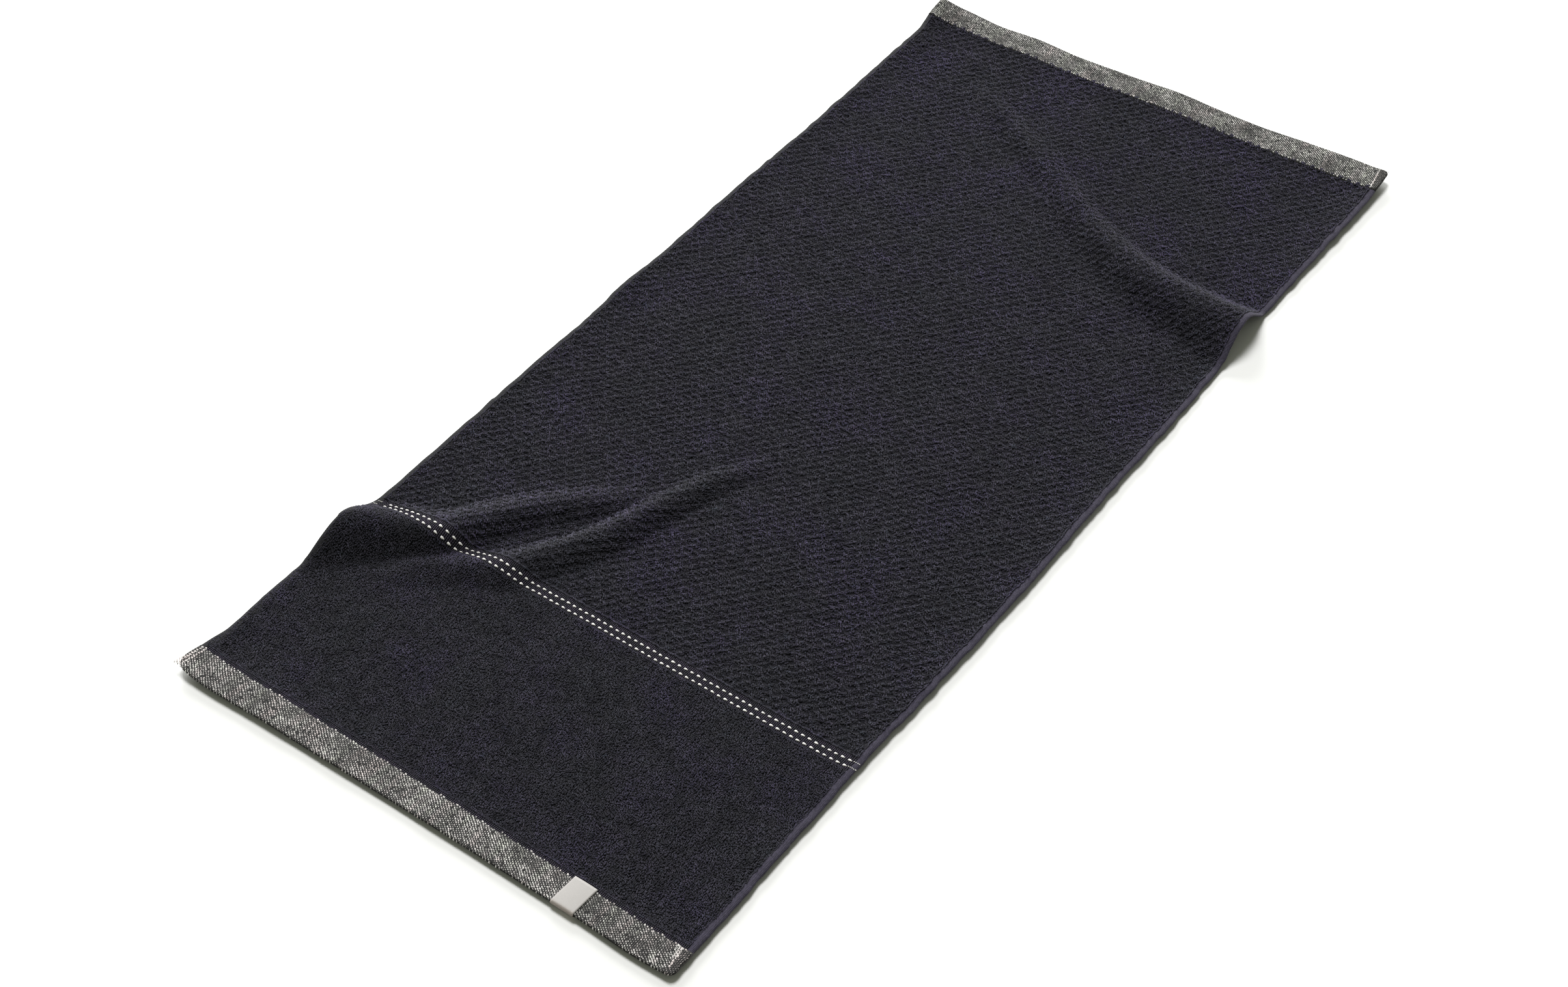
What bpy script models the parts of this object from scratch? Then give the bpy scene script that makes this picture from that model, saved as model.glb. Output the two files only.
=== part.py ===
"""A terry bath towel that lies flat on a surface, with two creases left in it, and its sewn-on tab.

The towel lies with its length along Y and its width along X. Its near end, with the tab, is at low Y.
Lengths are in millimetres up to the point where a mesh is made, and metres from there on.
"""

import math

import bpy
import numpy as np

MM = 0.001

# The cloth, as it is cut and hemmed
CLOTH_WIDTH = 500.0
CLOTH_LENGTH = 1095.0
CORNER_RADIUS = 5.0
SIDE_HEM = 8.0
NEAR_HEM = 25.0
NEAR_STRIP_END = 30.0
DASH_STRIP_START = 225.0
DASH_STRIP_END = 239.0
FAR_HEM = 31.0

# Thickness of each zone, and how far the zones without pile on their back stand off the surface
PILE_THICK = 4.4
LUMPY_PILE_THICK = 4.9
END_HEM_THICK = 2.8
SIDE_HEM_THICK = 2.2
STRIP_THICK = 2.4
RIM_THICK = 1.4
HEM_STAND_OFF = 0.9
RIM_INSET = 1.2
STEP_WIDTH = 1.5

# The tab, a stiff tape folded round the edge of the near hem
TAB_WIDTH = 23.0
TAB_CENTRE = 397.0
TAB_TOP = 29.0
TAB_UNDER = 20.0
TAB_THICK = 0.5
TAB_GAP = 0.4
TAB_TURN_STEPS = 8

# How far each edge lies outside (+) or inside (-) the cut size: (place along the edge, offset, lift)
LEFT_EDGE = [
    (0, 4.6, 5.0), (20, 1.5, 3.6), (50, -2.2, 2.2), (90, -1.2, 1.2), (185, -1.0, 0.8), (230, -2.0, 1.0),
    (350, -1.8, 1.2), (450, -0.3, 1.0), (530, -0.8, 1.2), (560, 0.5, 3.0), (595, 0.0, 1.0), (670, 0.4, 1.0),
    (750, 0.6, 1.0), (830, -0.9, 1.0), (900, -0.5, 1.6), (1000, 0.6, 2.6), (1040, 0.6, 3.8),
    (1065, 3.4, 6.4), (1095, 5.4, 8.6),
]
RIGHT_EDGE = [
    (0, 0.5, 2.0), (60, 0.0, 1.6), (150, -0.5, 1.6), (230, -0.5, 2.2), (330, 2.5, 2.4), (430, 4.0, 2.4),
    (600, 3.0, 2.4), (690, 3.2, 2.0), (745, 1.5, 0.8), (790, -1.2, 0.5), (822, -2.5, 0.5), (870, -0.5, 1.0),
    (950, 0.5, 3.0), (1060, 2.0, 5.0), (1095, 1.0, 6.0),
]
NEAR_EDGE = [
    (0, 1.5, 4.0), (15, 3.0, 3.6), (100, 2.0, 2.8), (250, 0.2, 2.0), (375, 0.0, 2.0), (420, 0.2, 2.0),
    (465, 1.5, 2.0), (500, 0.0, 2.0),
]
FAR_EDGE = [
    (0, -9.0, 7.0), (30, -7.0, 4.5), (75, -8.0, 3.0), (115, -5.0, 2.4), (155, -6.5, 2.0), (215, -4.5, 2.0),
    (275, -1.0, 2.2), (355, -3.5, 2.4), (415, -0.5, 3.0), (460, 0.5, 4.5), (500, -2.0, 6.0),
]
# How far in from an edge its lift and its offset reach
SIDE_REACH = 38.0
END_REACH = 62.0

# Creases: a row for each point along a crest: (x, y, height, width of its back flank, of its front flank).
# The back flank is on the left of the way that the rows run, and the front flank on the right.
FIRST_CREASE = [
    (-30, 165, 18.5, 34, 50), (1, 186, 18.2, 32, 47), (20, 198, 17.0, 33, 42), (43, 211, 15.4, 34, 35),
    (74, 227, 13.6, 34, 27), (93, 254, 11.6, 31, 24), (120, 293, 8.8, 27, 22), (145, 319, 6.2, 25, 20),
    (172, 347, 3.2, 22, 18), (192, 368, 0.0, 20, 16),
]
SECOND_CREASE = [
    (62, 148, 0.0, 20, 22), (81, 184, 2.5, 22, 24), (101, 203, 4.5, 20, 26), (124, 219, 6.3, 20, 28),
    (141, 232, 7.6, 22, 30), (163, 261, 9.0, 20, 28), (178, 285, 9.4, 20, 26), (193, 319, 8.9, 19, 24),
    (201, 346, 8.1, 19, 22), (211, 375, 6.8, 19, 21), (221, 403, 5.0, 18, 19), (234, 430, 2.8, 16, 18),
    (250, 458, 0.0, 14, 16),
]
FAR_CREASE = [
    (92, 996, 0.0, 18, 16), (131, 975, 3.2, 20, 19), (178, 949, 5.0, 22, 22), (223, 924, 6.5, 22, 24),
    (268, 893, 8.5, 23, 26), (306, 869, 10.5, 25, 29), (351, 848, 13.4, 28, 34), (409, 829, 17.0, 33, 42),
    (455, 824, 19.6, 37, 49), (500, 822, 21.6, 39, 54), (530, 821, 22.4, 39, 54),
]
# Spacing of the points that are read along a crest
CREST_STEP = 2.0

# The first crease takes up cloth, so the woven rows beside it are drawn towards the near end
PULL = 6.0
PULL_ROW = 232.0
PULL_WIDTH = 190.0
PULL_LENGTH = 70.0

# Spacing of the mesh's lines over the cloth: (from, to, steps)
LINES_ACROSS = [
    (0, RIM_INSET, 1), (RIM_INSET, SIDE_HEM - STEP_WIDTH / 2, 1),
    (SIDE_HEM - STEP_WIDTH / 2, SIDE_HEM + STEP_WIDTH / 2, 1), (SIDE_HEM + STEP_WIDTH / 2, 240, 22),
    (240, CLOTH_WIDTH - SIDE_HEM - STEP_WIDTH / 2, 15),
    (CLOTH_WIDTH - SIDE_HEM - STEP_WIDTH / 2, CLOTH_WIDTH - SIDE_HEM + STEP_WIDTH / 2, 1),
    (CLOTH_WIDTH - SIDE_HEM + STEP_WIDTH / 2, CLOTH_WIDTH - RIM_INSET, 1),
    (CLOTH_WIDTH - RIM_INSET, CLOTH_WIDTH, 1),
]
FAR_HEM_START = CLOTH_LENGTH - FAR_HEM
LINES_ALONG = [
    (0, RIM_INSET, 1), (RIM_INSET, NEAR_HEM - STEP_WIDTH / 2, 2),
    (NEAR_HEM - STEP_WIDTH / 2, NEAR_HEM + STEP_WIDTH / 2, 1),
    (NEAR_HEM + STEP_WIDTH / 2, NEAR_STRIP_END - STEP_WIDTH / 2, 1),
    (NEAR_STRIP_END - STEP_WIDTH / 2, NEAR_STRIP_END + STEP_WIDTH / 2, 1),
    (NEAR_STRIP_END + STEP_WIDTH / 2, 135, 5), (135, DASH_STRIP_START - STEP_WIDTH / 2, 9),
    (DASH_STRIP_START - STEP_WIDTH / 2, DASH_STRIP_START + STEP_WIDTH / 2, 1),
    (DASH_STRIP_START + STEP_WIDTH / 2, DASH_STRIP_END - STEP_WIDTH / 2, 1),
    (DASH_STRIP_END - STEP_WIDTH / 2, DASH_STRIP_END + STEP_WIDTH / 2, 1),
    (DASH_STRIP_END + STEP_WIDTH / 2, 460, 22), (460, 760, 7), (760, 1000, 21),
    (1000, FAR_HEM_START - STEP_WIDTH / 2, 4),
    (FAR_HEM_START - STEP_WIDTH / 2, FAR_HEM_START + STEP_WIDTH / 2, 1),
    (FAR_HEM_START + STEP_WIDTH / 2, CLOTH_LENGTH - RIM_INSET, 2),
    (CLOTH_LENGTH - RIM_INSET, CLOTH_LENGTH, 1),
]


def fade(share):
    """1 at 0 and 0 at 1 and beyond, with a smooth fall between."""
    held = np.clip(share, 0.0, 1.0)
    return 0.5 + 0.5 * np.cos(math.pi * held)


def curve_through(table, column, places):
    """The table's column as a smooth curve over its first column, read at the places."""
    rows = np.array(table, float)
    at, value = rows[:, 0], rows[:, column]
    slope = np.gradient(value, at)
    index = np.clip(np.searchsorted(at, places) - 1, 0, len(at) - 2)
    span = at[index + 1] - at[index]
    t = np.clip((places - at[index]) / span, 0.0, 1.0)
    start = (1 + 2 * t) * (1 - t) ** 2 * value[index] + t * (1 - t) ** 2 * span * slope[index]
    end = t * t * (3 - 2 * t) * value[index + 1] + t * t * (t - 1) * span * slope[index + 1]
    return start + end


def crease_height(table, x, y):
    """Height that one crease adds at the places x, y: a rounded ridge along its crest."""
    rows = np.array(table, float)
    run = np.concatenate([[0.0], np.cumsum(np.hypot(np.diff(rows[:, 0]), np.diff(rows[:, 1])))])
    keyed = np.column_stack([run, rows])
    along = np.arange(0.0, run[-1], CREST_STEP)
    crest = [curve_through(keyed, column, along) for column in range(1, 6)]
    crest_x, crest_y, height, back, front = crest
    way_x, way_y = np.gradient(crest_x), np.gradient(crest_y)
    way = np.hypot(way_x, way_y)
    off_x = x[..., None] - crest_x
    off_y = y[..., None] - crest_y
    nearest = np.argmin(off_x ** 2 + off_y ** 2, axis=-1)
    near_x = np.take_along_axis(off_x, nearest[..., None], -1)[..., 0]
    near_y = np.take_along_axis(off_y, nearest[..., None], -1)[..., 0]
    left_of_it = (way_x[nearest] * near_y - way_y[nearest] * near_x) / way[nearest]
    flank = np.where(left_of_it > 0, back[nearest], front[nearest])
    return np.maximum(height[nearest], 0.0) * fade(np.hypot(near_x, near_y) / flank)


def edge_lift(u, v):
    """How far the cloth's back stands off the surface because its edges curl up a little."""
    lifts = [
        curve_through(LEFT_EDGE, 2, v) * fade(u / SIDE_REACH),
        curve_through(RIGHT_EDGE, 2, v) * fade((CLOTH_WIDTH - u) / SIDE_REACH),
        curve_through(NEAR_EDGE, 2, u) * fade(v / END_REACH),
        curve_through(FAR_EDGE, 2, u) * fade((CLOTH_LENGTH - v) / END_REACH),
    ]
    return sum(np.maximum(lift, 0.0) ** 3 for lift in lifts) ** (1 / 3)


def laid_plan(u, v):
    """Where a place on the cut cloth lies, seen from above, with the near-left corner of the cut at 0, 0."""
    from_left, from_right = u / CLOTH_WIDTH, 1 - u / CLOTH_WIDTH
    x = u - curve_through(LEFT_EDGE, 1, v) * from_right ** 2
    x = x + curve_through(RIGHT_EDGE, 1, v) * from_left ** 2
    y = v - curve_through(NEAR_EDGE, 1, u) * fade(v / END_REACH)
    y = y + curve_through(FAR_EDGE, 1, u) * fade((CLOTH_LENGTH - v) / END_REACH)
    y = y - PULL * fade(u / PULL_WIDTH) * np.exp(-(((v - PULL_ROW) / PULL_LENGTH) ** 2))
    return x, y


def rounded_corners(u, v):
    """Moves the places that lie in the square at each corner into a quarter circle."""
    in_x = np.minimum(u, CLOTH_WIDTH - u)
    in_y = np.minimum(v, CLOTH_LENGTH - v)
    out_x = np.clip(CORNER_RADIUS - in_x, 0.0, None)
    out_y = np.clip(CORNER_RADIUS - in_y, 0.0, None)
    reach = np.maximum(np.hypot(out_x, out_y), 1e-9)
    kept = np.where((out_x > 0) & (out_y > 0), np.maximum(out_x, out_y) / reach, 1.0)
    u = u + np.where(u < CLOTH_WIDTH / 2, 1, -1) * out_x * (1 - kept)
    v = v + np.where(v < CLOTH_LENGTH / 2, 1, -1) * out_y * (1 - kept)
    return u, v


def has_pile(u, v):
    """1 where the cloth has pile, 0 on its hems and flat strips, with a short step between."""
    def inside(place, low, high):
        return np.clip(np.minimum(place - low, high - place) / STEP_WIDTH + 0.5, 0.0, 1.0)

    plain = inside(v, NEAR_STRIP_END, DASH_STRIP_START)
    lumpy = inside(v, DASH_STRIP_END, FAR_HEM_START)
    across = inside(u, SIDE_HEM, CLOTH_WIDTH - SIDE_HEM)
    return plain * across, lumpy * across


def thickness(u, v):
    """Thickness of the cloth at a place on the cut."""
    plain, lumpy = has_pile(u, v)
    flat = np.full(np.shape(u), STRIP_THICK)
    flat = np.where((u < SIDE_HEM) | (u > CLOTH_WIDTH - SIDE_HEM), SIDE_HEM_THICK, flat)
    flat = np.where((v < NEAR_HEM) | (v > FAR_HEM_START), END_HEM_THICK, flat)
    from_rim = np.minimum(np.minimum(u, CLOTH_WIDTH - u), np.minimum(v, CLOTH_LENGTH - v))
    flat = RIM_THICK + (flat - RIM_THICK) * np.clip(from_rim / RIM_INSET, 0.0, 1.0)
    return flat + (PILE_THICK - flat) * plain + (LUMPY_PILE_THICK - flat) * lumpy


def back_height(u, v, x, y):
    """Height of the cloth's back over the surface that it lies on."""
    plain, lumpy = has_pile(u, v)
    from_rim = np.minimum(np.minimum(u, CLOTH_WIDTH - u), np.minimum(v, CLOTH_LENGTH - v))
    rim = (1 - np.clip(from_rim / RIM_INSET, 0.0, 1.0)) * (SIDE_HEM_THICK - RIM_THICK) / 2
    creases = sum(crease_height(table, x, y) for table in (FIRST_CREASE, SECOND_CREASE, FAR_CREASE))
    return HEM_STAND_OFF * (1 - plain - lumpy) + rim + edge_lift(u, v) + creases


def spaced(table):
    """Every line's place, from rows of (from, to, steps)."""
    places = [np.linspace(low, high, steps, endpoint=False) for low, high, steps in table]
    return np.concatenate(places + [[table[-1][1]]])


def principled(name, colour, roughness, metallic=0.0):
    material = bpy.data.materials.new(name)
    material.use_nodes = True
    material.diffuse_color = (*colour, 1.0)
    shader = material.node_tree.nodes["Principled BSDF"]
    shader.inputs["Base Color"].default_value = (*colour, 1.0)
    shader.inputs["Roughness"].default_value = roughness
    shader.inputs["Metallic"].default_value = metallic
    return material


def grid_object(name, columns, rows, collection):
    """A flat grid of quads, columns by rows points, in a new object of that name."""
    bpy.ops.mesh.primitive_grid_add(x_subdivisions=columns - 1, y_subdivisions=rows - 1, size=2.0)
    made = bpy.context.active_object
    made.name = name
    made.data.name = name
    for other in made.users_collection:
        other.objects.unlink(made)
    collection.objects.link(made)
    return made


def grid_places(made, across, along):
    """The place across and along the piece of each point of a grid that runs from -1 to 1 both ways."""
    points = np.empty(len(made.data.vertices) * 3)
    made.data.vertices.foreach_get("co", points)
    points = points.reshape(-1, 3)
    column = np.rint((points[:, 0] + 1) / 2 * (len(across) - 1)).astype(int)
    row = np.rint((points[:, 1] + 1) / 2 * (len(along) - 1)).astype(int)
    return across[column], along[row]


def move_points(made, x, y, z):
    made.data.vertices.foreach_set("co", (np.column_stack([x, y, z]) * MM).ravel())
    made.data.update()


def solidify(made, thick, share_group=""):
    """Gives the sheet its thickness, all of it on the side that its faces look at."""
    modifier = made.modifiers.new("thickness", "SOLIDIFY")
    modifier.thickness = thick * MM
    modifier.offset = 1.0
    modifier.use_even_offset = False
    modifier.vertex_group = share_group


def cloth_zone(u, v):
    """Material slot of a place on the cut: 0 terry, 1 side hems and strips, 2 speckled end hems."""
    if v < NEAR_HEM or v > FAR_HEM_START:
        return 2
    in_strip = v < NEAR_STRIP_END or DASH_STRIP_START < v < DASH_STRIP_END
    on_side = u < SIDE_HEM or u > CLOTH_WIDTH - SIDE_HEM
    return 1 if in_strip or on_side else 0


def make_towel(collection):
    across, along = spaced(LINES_ACROSS), spaced(LINES_ALONG)
    towel = grid_object("towel", len(across), len(along), collection)
    cut_u, cut_v = grid_places(towel, across, along)
    u, v = rounded_corners(cut_u, cut_v)
    x, y = laid_plan(u, v)
    move_points(towel, x, y, back_height(cut_u, cut_v, x, y))
    thick = thickness(cut_u, cut_v)
    group = towel.vertex_groups.new(name="thickness share")
    for index, share in enumerate(thick / thick.max()):
        group.add([index], float(share), "REPLACE")
    solidify(towel, thick.max(), group.name)
    towel.data.materials.append(principled("terry", (0.030, 0.029, 0.041), 0.95))
    towel.data.materials.append(principled("flat woven hem", (0.060, 0.055, 0.088), 0.85))
    towel.data.materials.append(principled("speckled end hem", (0.300, 0.285, 0.270), 0.85))
    for face in towel.data.polygons:
        corners = list(face.vertices)
        face.material_index = cloth_zone(cut_u[corners].mean(), cut_v[corners].mean())
    towel.data.shade_smooth()
    return towel, x, y


def tab_profile():
    """The inner face of the folded tab from its top end round the hem, as (place along the cloth, height)."""
    middle = np.array([TAB_CENTRE])

    def hem_at(place):
        v = np.array([place])
        x, y = laid_plan(middle, v)
        back = back_height(middle, v, x, y)[0]
        return y[0], back, back + thickness(middle, v)[0]

    top = [hem_at(place) for place in np.linspace(TAB_TOP, RIM_INSET, 5)]
    under = [hem_at(place) for place in np.linspace(RIM_INSET, TAB_UNDER, 4)]
    level = max(high for _, _, high in top) + TAB_GAP
    profile = [(y, level) for y, _, _ in top]
    rest = min(low for _, low, _ in under) - TAB_GAP
    turn_radius = (level - rest) / 2
    front = profile[-1][0]
    for step in range(1, TAB_TURN_STEPS):
        turn = math.pi * step / TAB_TURN_STEPS
        profile.append((front - turn_radius * math.sin(turn), rest + turn_radius * (1 + math.cos(turn))))
    return profile + [(y, rest) for y, _, _ in under]


def make_tab(collection):
    profile = np.array(tab_profile())
    across = np.array([TAB_CENTRE - TAB_WIDTH / 2, TAB_CENTRE + TAB_WIDTH / 2])
    along = np.arange(len(profile), dtype=float)
    tab = grid_object("tab", len(across), len(along), collection)
    x, row = grid_places(tab, across, along)
    y, z = profile[row.astype(int)].T
    move_points(tab, x, y, z)
    tab.data.flip_normals()
    solidify(tab, TAB_THICK)
    tab.data.materials.append(principled("tab", (0.74, 0.70, 0.66), 0.55))
    return tab


def main():
    for old in list(bpy.data.objects):
        bpy.data.objects.remove(old)
    collection = bpy.data.collections.new("bath towel")
    bpy.context.scene.collection.children.link(collection)
    towel, x, y = make_towel(collection)
    tab = make_tab(collection)
    # The origin is under the middle of the laid towel, on the surface that it lies on
    middle = ((x.min() + x.max()) / 2 * MM, (y.min() + y.max()) / 2 * MM)
    for piece in (towel, tab):
        piece.location = (-middle[0], -middle[1], 0.0)


main()
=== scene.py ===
"""A terry bath towel that lies flat on a pale floor, with two creases left in it, and its sewn-on tab."""

import math

import bpy
import numpy as np
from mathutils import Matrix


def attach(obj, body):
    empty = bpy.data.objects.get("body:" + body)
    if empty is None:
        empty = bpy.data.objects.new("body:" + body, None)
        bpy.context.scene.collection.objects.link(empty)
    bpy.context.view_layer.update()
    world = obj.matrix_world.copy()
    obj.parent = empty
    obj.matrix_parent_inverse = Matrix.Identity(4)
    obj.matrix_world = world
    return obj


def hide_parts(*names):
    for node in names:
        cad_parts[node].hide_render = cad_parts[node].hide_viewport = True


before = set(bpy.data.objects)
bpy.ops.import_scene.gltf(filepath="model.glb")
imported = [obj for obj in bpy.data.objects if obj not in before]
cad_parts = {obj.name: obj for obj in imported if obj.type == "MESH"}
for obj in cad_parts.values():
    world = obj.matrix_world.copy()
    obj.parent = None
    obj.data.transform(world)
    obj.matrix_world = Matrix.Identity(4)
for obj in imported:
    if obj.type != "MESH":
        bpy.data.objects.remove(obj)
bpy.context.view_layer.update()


# The ground cloth: one woven cotton sheet that carries the pile, cut 500 by 1095 mm and hemmed all
# round; its colour is painted dark, as the shade between the loops. It lies flat, but for a crease that
# starts at the left edge and forks, and one at the right edge.
# Places on the cut cloth are in millimetres, u across from the left edge and v along from the near edge.
MM = 0.001
CLOTH_WIDTH = 500.0
CLOTH_LENGTH = 1095.0
SIDE_HEM = 8.0
NEAR_HEM = 25.0
NEAR_STRIP_END = 30.0
DASH_STRIP_START = 225.0
DASH_STRIP_END = 239.0
FAR_HEM_START = 1064.0
# Radius of each corner: near left and right, then far left and right
CORNER_RADII = ((13.0, 6.0), (5.0, 5.0))
# Where the part's origin is on the laid cloth
MIDDLE_X = 249.81
MIDDLE_Y = 545.86

# Edges, a row for each point: (place along the edge, how far it lies outside the cut size, lift)
LEFT_EDGE = [
    (0, 4.6, 5.0), (20, 1.5, 3.6), (50, -2.2, 2.2), (90, -1.2, 1.2), (185, -1.0, 0.8), (230, -2.0, 1.0),
    (350, -1.8, 1.2), (450, -0.3, 1.0), (530, -0.8, 1.2), (560, 0.5, 3.0), (595, 0.0, 1.0), (670, 0.4, 1.0),
    (750, 0.6, 1.0), (830, -0.9, 1.0), (900, -0.5, 1.6), (1000, 0.6, 2.6), (1040, 0.6, 3.8),
    (1065, 3.4, 6.4), (1095, 5.4, 8.6),
]
RIGHT_EDGE = [
    (0, 0.5, 2.0), (60, 0.0, 1.6), (150, -0.5, 1.6), (230, -0.5, 2.2), (330, 2.5, 2.4), (430, 4.0, 2.4),
    (600, 3.0, 2.4), (690, 3.2, 2.0), (745, 2.2, 0.8), (790, 1.4, 0.5), (822, -0.4, 0.5), (870, -0.5, 1.0),
    (950, 0.5, 3.0), (1060, 2.0, 5.0), (1095, 1.0, 6.0),
]
NEAR_EDGE = [
    (0, 1.5, 4.0), (15, 3.0, 3.6), (100, 2.0, 2.8), (250, 0.2, 2.0), (375, 0.0, 2.0), (420, 0.2, 2.0),
    (465, 1.5, 2.0), (500, 0.0, 2.0),
]
FAR_EDGE = [
    (0, -9.0, 7.0), (30, -7.0, 4.5), (75, -8.0, 3.0), (115, -5.0, 2.4), (155, -6.5, 2.0), (215, -4.5, 2.0),
    (275, -1.0, 2.2), (355, -3.5, 2.4), (415, -0.5, 3.0), (460, 0.5, 4.5), (500, -2.0, 6.0),
]
SIDE_REACH = 38.0
END_REACH = 62.0

# Creases, a row for each point along a crest: (x, y, height, width of its back flank, of its front flank)
FIRST_CREASE = [
    (-30, 165, 18.5, 34, 50), (1, 186, 18.2, 32, 47), (20, 198, 17.0, 33, 42), (43, 211, 15.4, 34, 35),
    (74, 227, 13.6, 34, 27), (93, 254, 11.6, 31, 24), (120, 293, 8.8, 27, 22), (145, 319, 6.2, 25, 20),
    (172, 347, 3.2, 22, 18), (192, 368, 0.0, 20, 16),
]
SECOND_CREASE = [
    (62, 148, 0.0, 20, 22), (81, 184, 2.5, 22, 24), (101, 203, 4.5, 20, 26), (124, 219, 6.3, 20, 28),
    (141, 232, 7.6, 22, 30), (163, 261, 9.0, 20, 28), (178, 285, 9.4, 20, 26), (193, 319, 8.9, 19, 24),
    (201, 346, 8.1, 19, 22), (211, 375, 6.8, 19, 21), (221, 403, 5.0, 18, 19), (234, 430, 2.8, 16, 18),
    (250, 458, 0.0, 14, 16),
]
FAR_CREASE = [
    (92, 996, 0.0, 18, 16), (131, 975, 3.2, 20, 19), (178, 949, 5.0, 22, 22), (223, 924, 6.5, 22, 24),
    (268, 893, 8.5, 23, 26), (306, 869, 10.5, 25, 29), (351, 848, 13.4, 28, 34), (409, 829, 17.0, 33, 42),
    (455, 824, 19.6, 37, 49), (500, 822, 21.6, 39, 54), (530, 821, 22.4, 39, 54),
]
CREST_STEP = 2.0
# The first crease takes up cloth, so the woven rows beside it are drawn towards the near end
PULL = 6.0
PULL_ROW = 232.0
PULL_WIDTH = 190.0
PULL_LENGTH = 70.0
# Small ripples, in the edges most of all
RIPPLE = 0.7
RIPPLE_REACH = 18.0
# The lie of the cloth is worked out on a grid, in bands that keep its tables small
FOLD_STEP = 2.5
FOLD_BANDS = 24


def fade(share):
    """1 at 0 and 0 at 1 and beyond, with a smooth fall between."""
    return 0.5 + 0.5 * np.cos(math.pi * np.clip(share, 0.0, 1.0))


def curve_through(table, column, places):
    """The table's column as a smooth curve over its first column, read at the places."""
    rows = np.array(table, float)
    at, value = rows[:, 0], rows[:, column]
    slope = np.gradient(value, at)
    index = np.clip(np.searchsorted(at, places) - 1, 0, len(at) - 2)
    span = at[index + 1] - at[index]
    t = np.clip((places - at[index]) / span, 0.0, 1.0)
    start = (1 + 2 * t) * (1 - t) ** 2 * value[index] + t * (1 - t) ** 2 * span * slope[index]
    end = t * t * (3 - 2 * t) * value[index + 1] + t * t * (t - 1) * span * slope[index + 1]
    return start + end


def crease_height(table, x, y):
    """Height that one crease adds at the places x, y: a rounded ridge along its crest."""
    rows = np.array(table, float)
    run = np.concatenate([[0.0], np.cumsum(np.hypot(np.diff(rows[:, 0]), np.diff(rows[:, 1])))])
    keyed = np.column_stack([run, rows])
    along = np.arange(0.0, run[-1], CREST_STEP)
    crest_x, crest_y, height, back, front = [curve_through(keyed, column, along) for column in range(1, 6)]
    way_x, way_y = np.gradient(crest_x), np.gradient(crest_y)
    way = np.hypot(way_x, way_y)
    nearest = np.argmin((x[..., None] - crest_x) ** 2 + (y[..., None] - crest_y) ** 2, axis=-1)
    near_x = x - crest_x[nearest]
    near_y = y - crest_y[nearest]
    left_of_it = (way_x[nearest] * near_y - way_y[nearest] * near_x) / way[nearest]
    flank = np.where(left_of_it > 0, back[nearest], front[nearest])
    return np.maximum(height[nearest], 0.0) * fade(np.hypot(near_x, near_y) / flank)


def edge_lift(u, v):
    """How far the cloth stands off the floor because its edges curl up a little."""
    lifts = [
        curve_through(LEFT_EDGE, 2, v) * fade(u / SIDE_REACH),
        curve_through(RIGHT_EDGE, 2, v) * fade((CLOTH_WIDTH - u) / SIDE_REACH),
        curve_through(NEAR_EDGE, 2, u) * fade(v / END_REACH),
        curve_through(FAR_EDGE, 2, u) * fade((CLOTH_LENGTH - v) / END_REACH),
    ]
    return sum(np.maximum(lift, 0.0) ** 3 for lift in lifts) ** (1 / 3)


def laid_plan(u, v):
    """Where a place on the cut cloth lies, seen from above, with the near-left corner of the cut at 0, 0."""
    from_left, from_right = u / CLOTH_WIDTH, 1 - u / CLOTH_WIDTH
    x = u - curve_through(LEFT_EDGE, 1, v) * from_right ** 2
    x = x + curve_through(RIGHT_EDGE, 1, v) * from_left ** 2
    y = v - curve_through(NEAR_EDGE, 1, u) * fade(v / END_REACH)
    y = y + curve_through(FAR_EDGE, 1, u) * fade((CLOTH_LENGTH - v) / END_REACH)
    y = y - PULL * fade(u / PULL_WIDTH) * np.exp(-(((v - PULL_ROW) / PULL_LENGTH) ** 2))
    return x, y


def drift(seed, u, v, size_u, size_v):
    """A smooth unevenness from -1 to 1 over the cloth, with lumps of about the given size."""
    at_u, at_v = u / size_u + 2.0, v / size_v + 2.0
    column, row = np.floor(at_u).astype(int), np.floor(at_v).astype(int)
    over, beside = at_v - row, at_u - column
    over, beside = over * over * (3 - 2 * over), beside * beside * (3 - 2 * beside)
    values = np.random.default_rng(seed).uniform(-1.0, 1.0, (row.max() + 2, column.max() + 2))
    near = values[row, column] * (1 - beside) + values[row, column + 1] * beside
    far = values[row + 1, column] * (1 - beside) + values[row + 1, column + 1] * beside
    return near * (1 - over) + far * over


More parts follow.
